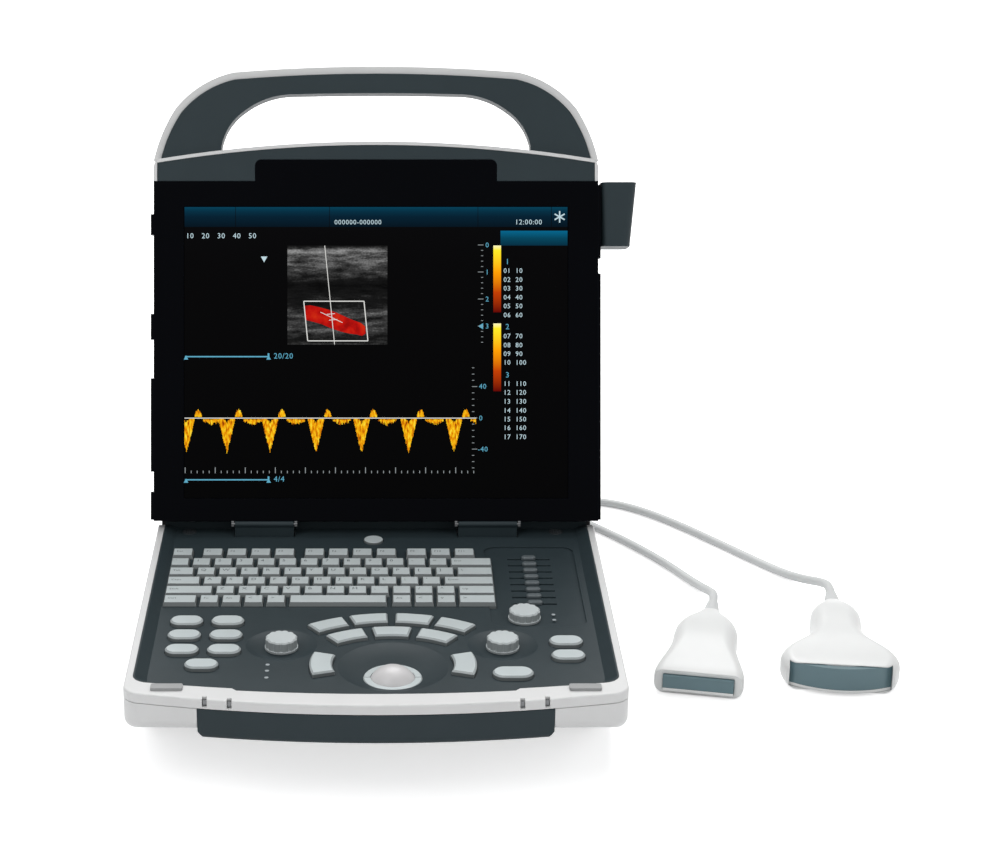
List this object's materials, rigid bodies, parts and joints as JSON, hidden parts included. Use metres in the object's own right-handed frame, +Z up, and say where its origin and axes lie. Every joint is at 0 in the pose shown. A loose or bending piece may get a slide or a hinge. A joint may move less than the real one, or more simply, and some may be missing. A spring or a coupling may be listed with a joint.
{
  "type": "portable ultrasound scanner",
  "caption": "Laptop-style portable ultrasound scanner, open, with a carrying handle on its lid and a linear and a convex probe on leads beside it",
  "frame": {"origin": "On the surface that the scanner stands on, below the centre of the trolley screw pattern under the base.", "axes": "+X to the operator's right, +Y away from the operator, +Z up."},
  "size_m": [0.575, 0.5575, 0.4236],
  "materials": {
    "pale_case": "satin moulded",
    "slate_plastic": "fine texture",
    "gloss_black": "polished",
    "screen_glass": "smooth",
    "key_silver": "satin",
    "slider_grey": "satin",
    "ball_pearl": "polished",
    "grille_metal": "perforated, anodised",
    "rubber_dark": "matte",
    "pad_grey": "matte",
    "steel": "bright",
    "board_green": "solder mask",
    "dark_metal": "powder coat",
    "probe_white": "satin moulded",
    "lens_teal": "smooth silicone",
    "cable_grey": "smooth jacket"
  },
  "bodies": {
    "base": {"base_lower_case": "pale_case", "base_trim_frame": "pale_case", "front_bumper": "slate_plastic", "control_panel": "slate_plastic", "rubber_feet": "rubber_dark", "rear_io_panel": "slate_plastic", "latch_keepers": "steel", "lid_rest_pads": "pad_grey", "speaker_grilles": "grille_metal", "main_board": "board_green", "keyboard_board": "board_green", "power_supply": "dark_metal", "hinge_covers": "slate_plastic", "trackball_ring": "key_silver", "fan_frame": "rubber_dark", "linear_probe_shell": "probe_white", "linear_probe_lens": "lens_teal", "convex_probe_shell": "probe_white", "convex_probe_lens": "lens_teal", "cable_boots": "cable_grey", "linear_cord": "cable_grey", "linear_coil": "cable_grey", "convex_cord": "cable_grey", "convex_coil": "cable_grey", "probe_plugs": "probe_white"},
    "lid": {"lid_back_cover": "pale_case", "display_bezel": "gloss_black", "lid_top_trim": "slate_plastic", "lcd_panel": "screen_glass", "handle_shell": "pale_case", "handle_grip": "slate_plastic", "probe_holder": "slate_plastic", "hinge_pins": "steel"},
    "function_keys_body": {"function_keys": "key_silver"},
    "number_keys_body": {"number_keys": "key_silver"},
    "upper_letter_keys_body": {"upper_letter_keys": "key_silver"},
    "home_letter_keys_body": {"home_letter_keys": "key_silver"},
    "lower_letter_keys_body": {"lower_letter_keys": "key_silver"},
    "bottom_keys_body": {"bottom_keys": "key_silver"},
    "arc_keys_body": {"arc_keys": "key_silver"},
    "left_oval_keys_body": {"left_oval_keys": "key_silver"},
    "right_oval_keys_body": {"right_oval_keys": "key_silver"},
    "crescent_key_left_body": {"crescent_key_left": "key_silver"},
    "crescent_key_right_body": {"crescent_key_right": "key_silver"},
    "power_button_body": {"power_button": "key_silver"},
    "gain_slider_1_body": {"gain_slider_1": "slider_grey"},
    "gain_slider_2_body": {"gain_slider_2": "slider_grey"},
    "gain_slider_3_body": {"gain_slider_3": "slider_grey"},
    "gain_slider_4_body": {"gain_slider_4": "slider_grey"},
    "gain_slider_5_body": {"gain_slider_5": "slider_grey"},
    "gain_slider_6_body": {"gain_slider_6": "slider_grey"},
    "gain_slider_7_body": {"gain_slider_7": "slider_grey"},
    "gain_slider_8_body": {"gain_slider_8": "slider_grey"},
    "menu_knob_body": {"menu_knob": "key_silver"},
    "angle_knob_body": {"angle_knob": "key_silver"},
    "gain_knob_body": {"gain_knob": "key_silver"},
    "trackball_body": {"trackball": "ball_pearl"},
    "fan_rotor_body": {"fan_rotor": "rubber_dark"},
    "lock_lever_a_body": {"lock_lever_a": "probe_white"},
    "lock_lever_b_body": {"lock_lever_b": "probe_white"}
  },
  "joints": [
    {"name": "lid_hinge", "type": "hinge", "parent": "base", "child": "lid", "pos_m": [0, 0.14448, 0.08479], "axis": [-1, 0, 0], "range_deg": [-110.3, 0]},
    {"name": "function_keys_press", "type": "slide", "parent": "base", "child": "function_keys_body", "axis": [0, 0, -1], "range_m": [0, 0.002], "stiffness_N_per_m": 400, "springref_m": -0.002},
    {"name": "number_keys_press", "type": "slide", "parent": "base", "child": "number_keys_body", "axis": [0, 0, -1], "range_m": [0, 0.002], "stiffness_N_per_m": 400, "springref_m": -0.002},
    {"name": "upper_letter_keys_press", "type": "slide", "parent": "base", "child": "upper_letter_keys_body", "axis": [0, 0, -1], "range_m": [0, 0.002], "stiffness_N_per_m": 400, "springref_m": -0.002},
    {"name": "home_letter_keys_press", "type": "slide", "parent": "base", "child": "home_letter_keys_body", "axis": [0, 0, -1], "range_m": [0, 0.002], "stiffness_N_per_m": 400, "springref_m": -0.002},
    {"name": "lower_letter_keys_press", "type": "slide", "parent": "base", "child": "lower_letter_keys_body", "axis": [0, 0, -1], "range_m": [0, 0.002], "stiffness_N_per_m": 400, "springref_m": -0.002},
    {"name": "bottom_keys_press", "type": "slide", "parent": "base", "child": "bottom_keys_body", "axis": [0, 0, -1], "range_m": [0, 0.002], "stiffness_N_per_m": 400, "springref_m": -0.002},
    {"name": "arc_keys_press", "type": "slide", "parent": "base", "child": "arc_keys_body", "axis": [0, 0, -1], "range_m": [0, 0.002], "stiffness_N_per_m": 400, "springref_m": -0.002},
    {"name": "left_oval_keys_press", "type": "slide", "parent": "base", "child": "left_oval_keys_body", "axis": [0, 0, -1], "range_m": [0, 0.002], "stiffness_N_per_m": 400, "springref_m": -0.002},
    {"name": "right_oval_keys_press", "type": "slide", "parent": "base", "child": "right_oval_keys_body", "axis": [0, 0, -1], "range_m": [0, 0.002], "stiffness_N_per_m": 400, "springref_m": -0.002},
    {"name": "crescent_key_left_press", "type": "slide", "parent": "base", "child": "crescent_key_left_body", "axis": [0, 0, -1], "range_m": [0, 0.002], "stiffness_N_per_m": 400, "springref_m": -0.002},
    {"name": "crescent_key_right_press", "type": "slide", "parent": "base", "child": "crescent_key_right_body", "axis": [0, 0, -1], "range_m": [0, 0.002], "stiffness_N_per_m": 400, "springref_m": -0.002},
    {"name": "power_button_press", "type": "slide", "parent": "base", "child": "power_button_body", "axis": [0, 0, -1], "range_m": [0, 0.0015], "stiffness_N_per_m": 400, "springref_m": -0.002},
    {"name": "gain_slide_1", "type": "slide", "parent": "base", "child": "gain_slider_1_body", "axis": [1, 0, 0], "range_m": [-0.0105, 0.0105]},
    {"name": "gain_slide_2", "type": "slide", "parent": "base", "child": "gain_slider_2_body", "axis": [1, 0, 0], "range_m": [-0.0105, 0.0105]},
    {"name": "gain_slide_3", "type": "slide", "parent": "base", "child": "gain_slider_3_body", "axis": [1, 0, 0], "range_m": [-0.0105, 0.0105]},
    {"name": "gain_slide_4", "type": "slide", "parent": "base", "child": "gain_slider_4_body", "axis": [1, 0, 0], "range_m": [-0.0105, 0.0105]},
    {"name": "gain_slide_5", "type": "slide", "parent": "base", "child": "gain_slider_5_body", "axis": [1, 0, 0], "range_m": [-0.0105, 0.0105]},
    {"name": "gain_slide_6", "type": "slide", "parent": "base", "child": "gain_slider_6_body", "axis": [1, 0, 0], "range_m": [-0.0105, 0.0105]},
    {"name": "gain_slide_7", "type": "slide", "parent": "base", "child": "gain_slider_7_body", "axis": [1, 0, 0], "range_m": [-0.0105, 0.0105]},
    {"name": "gain_slide_8", "type": "slide", "parent": "base", "child": "gain_slider_8_body", "axis": [1, 0, 0], "range_m": [-0.0105, 0.0105]},
    {"name": "menu_knob_turn", "type": "hinge", "parent": "base", "child": "menu_knob_body", "pos_m": [-0.0676, -0.0563, 0.0725], "axis": [0, 0, 1], "continuous": true},
    {"name": "angle_knob_turn", "type": "hinge", "parent": "base", "child": "angle_knob_body", "pos_m": [0.0906, -0.056, 0.0725], "axis": [0, 0, 1], "continuous": true},
    {"name": "gain_knob_turn", "type": "hinge", "parent": "base", "child": "gain_knob_body", "pos_m": [0.1089, -0.0093, 0.0725], "axis": [0, 0, 1], "continuous": true},
    {"name": "trackball_roll", "type": "hinge", "parent": "base", "child": "trackball_body", "pos_m": [0.0117, -0.104, 0.06347], "axis": [1, 0, 0], "continuous": true},
    {"name": "fan_spin", "type": "hinge", "parent": "base", "child": "fan_rotor_body", "pos_m": [-0.105, 0.152, 0.028], "axis": [0, 1, 0], "continuous": true},
    {"name": "lock_lever_a_turn", "type": "hinge", "parent": "base", "child": "lock_lever_a_body", "pos_m": [0.0935, 0.187, 0.0545], "axis": [0, 0, 1], "range_deg": [0, 90]},
    {"name": "lock_lever_b_turn", "type": "hinge", "parent": "base", "child": "lock_lever_b_body", "pos_m": [-0.0175, 0.187, 0.0545], "axis": [0, 0, 1], "range_deg": [0, 90]}
  ]
}
